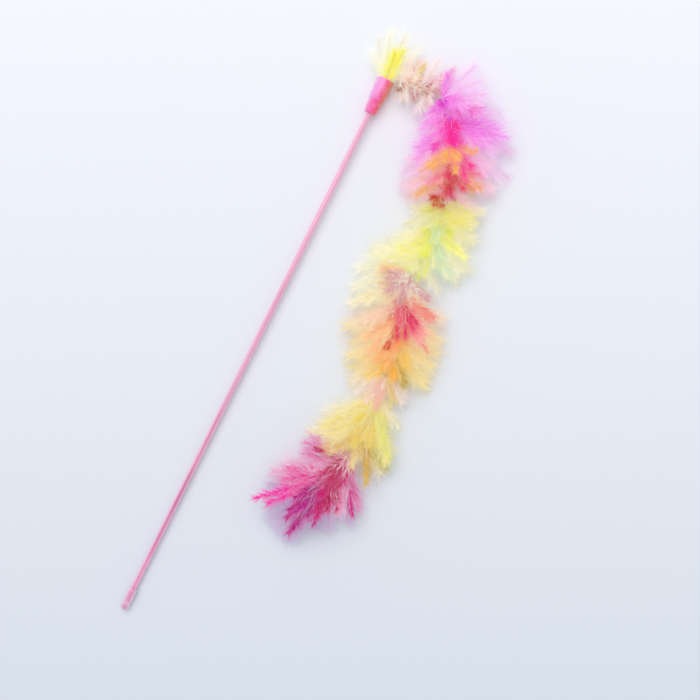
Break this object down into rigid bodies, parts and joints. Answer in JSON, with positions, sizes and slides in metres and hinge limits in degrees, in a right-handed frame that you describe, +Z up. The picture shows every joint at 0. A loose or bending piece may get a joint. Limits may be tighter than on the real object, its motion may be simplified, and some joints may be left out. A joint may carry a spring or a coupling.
{
  "type": "cat teaser wand",
  "caption": "Plastic wand with an end cap and a flared tip socket that holds a jointed boa of dyed plumes tied along a cord.",
  "frame": {"origin": "on the floor under the middle of the stick, between the butt of its end cap and the mouth of its socket", "axes": "+X along the stick from its butt to its tip, +Z up from the floor it lies on, the boa on the -Y side"},
  "size_m": [0.4297, 0.1391, 0.0421],
  "materials": {
    "rod_plastic": "gloss",
    "cap_vinyl": "satin",
    "socket_plastic": "gloss",
    "glue": "satin",
    "cord": "matte",
    "feather_peach": "matte",
    "feather_blush": "matte",
    "feather_orchid": "matte",
    "feather_magenta": "matte",
    "feather_violet": "matte",
    "feather_flame": "matte",
    "feather_crimson": "matte",
    "feather_lime": "matte",
    "feather_citron": "matte",
    "feather_lemon": "matte",
    "feather_mint": "matte",
    "feather_mauve": "matte",
    "feather_fuchsia": "matte",
    "feather_coral": "matte",
    "feather_tangerine": "matte",
    "feather_amber": "matte",
    "feather_apricot": "matte",
    "feather_straw": "matte",
    "feather_yellow": "matte",
    "feather_ochre": "matte",
    "feather_rose": "matte",
    "feather_ruby": "matte",
    "feather_purple": "matte",
    "feather_top": "matte"
  },
  "bodies": {
    "wand": {"wand_rod": "rod_plastic", "rod_end_cap": "cap_vinyl", "tip_socket": "socket_plastic", "glue_plug": "glue", "anchor_knot": "cord", "cord_anchor": "cord", "plumes_top": "feather_top"},
    "flex_leader": {"knot_leader": "cord"},
    "boa_leader": {"cord_leader": "cord", "plumes_peach": "feather_peach", "plumes_blush": "feather_blush"},
    "flex_magenta": {"knot_magenta": "cord"},
    "boa_magenta": {"cord_magenta": "cord", "plumes_orchid": "feather_orchid", "plumes_magenta": "feather_magenta", "plumes_violet": "feather_violet", "plumes_flame": "feather_flame", "plumes_crimson": "feather_crimson"},
    "flex_lime": {"knot_lime": "cord"},
    "boa_lime": {"cord_lime": "cord", "plumes_lime": "feather_lime", "plumes_citron": "feather_citron", "plumes_lemon": "feather_lemon", "plumes_mint": "feather_mint"},
    "flex_orange": {"knot_orange": "cord"},
    "boa_orange": {"cord_orange": "cord", "plumes_mauve": "feather_mauve", "plumes_fuchsia": "feather_fuchsia", "plumes_coral": "feather_coral", "plumes_tangerine": "feather_tangerine", "plumes_amber": "feather_amber", "plumes_apricot": "feather_apricot"},
    "flex_yellow": {"knot_yellow": "cord"},
    "boa_yellow": {"cord_yellow": "cord", "plumes_straw": "feather_straw", "plumes_yellow": "feather_yellow", "plumes_ochre": "feather_ochre"},
    "flex_tail": {"knot_tail": "cord"},
    "boa_tail": {"cord_tail": "cord", "plumes_rose": "feather_rose", "plumes_ruby": "feather_ruby", "plumes_purple": "feather_purple", "knot_end": "cord"}
  },
  "joints": [
    {"name": "swing_leader", "type": "hinge", "parent": "wand", "child": "flex_leader", "pos_m": [0.20318, 0, 0.00628], "axis": [0, 0, 1], "range_deg": [-6, 28]},
    {"name": "lift_leader", "type": "hinge", "parent": "flex_leader", "child": "boa_leader", "pos_m": [0.20318, 0, 0.00628], "axis": [-0.9948, -0.1018, 0], "range_deg": [0, 18]},
    {"name": "swing_magenta", "type": "hinge", "parent": "boa_leader", "child": "flex_magenta", "pos_m": [0.2072, -0.0375, 0.00628], "axis": [0, 0, -1], "range_deg": [-28, 6]},
    {"name": "lift_magenta", "type": "hinge", "parent": "flex_magenta", "child": "boa_magenta", "pos_m": [0.2072, -0.0375, 0.00628], "axis": [-0.851, 0.5251, 0], "range_deg": [0, 18]},
    {"name": "swing_lime", "type": "hinge", "parent": "boa_magenta", "child": "flex_lime", "pos_m": [0.1447, -0.0728, 0.00628], "axis": [0, 0, 1], "range_deg": [-9, 26]},
    {"name": "lift_lime", "type": "hinge", "parent": "flex_lime", "child": "boa_lime", "pos_m": [0.1447, -0.0728, 0.00628], "axis": [-0.1705, 0.9854, 0], "range_deg": [0, 18]},
    {"name": "swing_orange", "type": "hinge", "parent": "boa_lime", "child": "flex_orange", "pos_m": [0.0914, -0.0736, 0.00628], "axis": [0, 0, -1], "range_deg": [-24, 12]},
    {"name": "lift_orange", "type": "hinge", "parent": "flex_orange", "child": "boa_orange", "pos_m": [0.0914, -0.0736, 0.00628], "axis": [-0.0774, 0.997, 0], "range_deg": [0, 18]},
    {"name": "swing_yellow", "type": "hinge", "parent": "boa_orange", "child": "flex_yellow", "pos_m": [0.0121, -0.0904, 0.00628], "axis": [0, 0, 1], "range_deg": [-18, 26]},
    {"name": "lift_yellow", "type": "hinge", "parent": "flex_yellow", "child": "boa_yellow", "pos_m": [0.0121, -0.0904, 0.00628], "axis": [-0.1859, 0.9826, 0], "range_deg": [0, 18]},
    {"name": "swing_tail", "type": "hinge", "parent": "boa_yellow", "child": "flex_tail", "pos_m": [-0.0341, -0.0918, 0.00628], "axis": [0, 0, -1], "range_deg": [-26, 24]},
    {"name": "lift_tail", "type": "hinge", "parent": "flex_tail", "child": "boa_tail", "pos_m": [-0.0341, -0.0918, 0.00628], "axis": [0.1895, 0.9819, 0], "range_deg": [0, 18]}
  ]
}
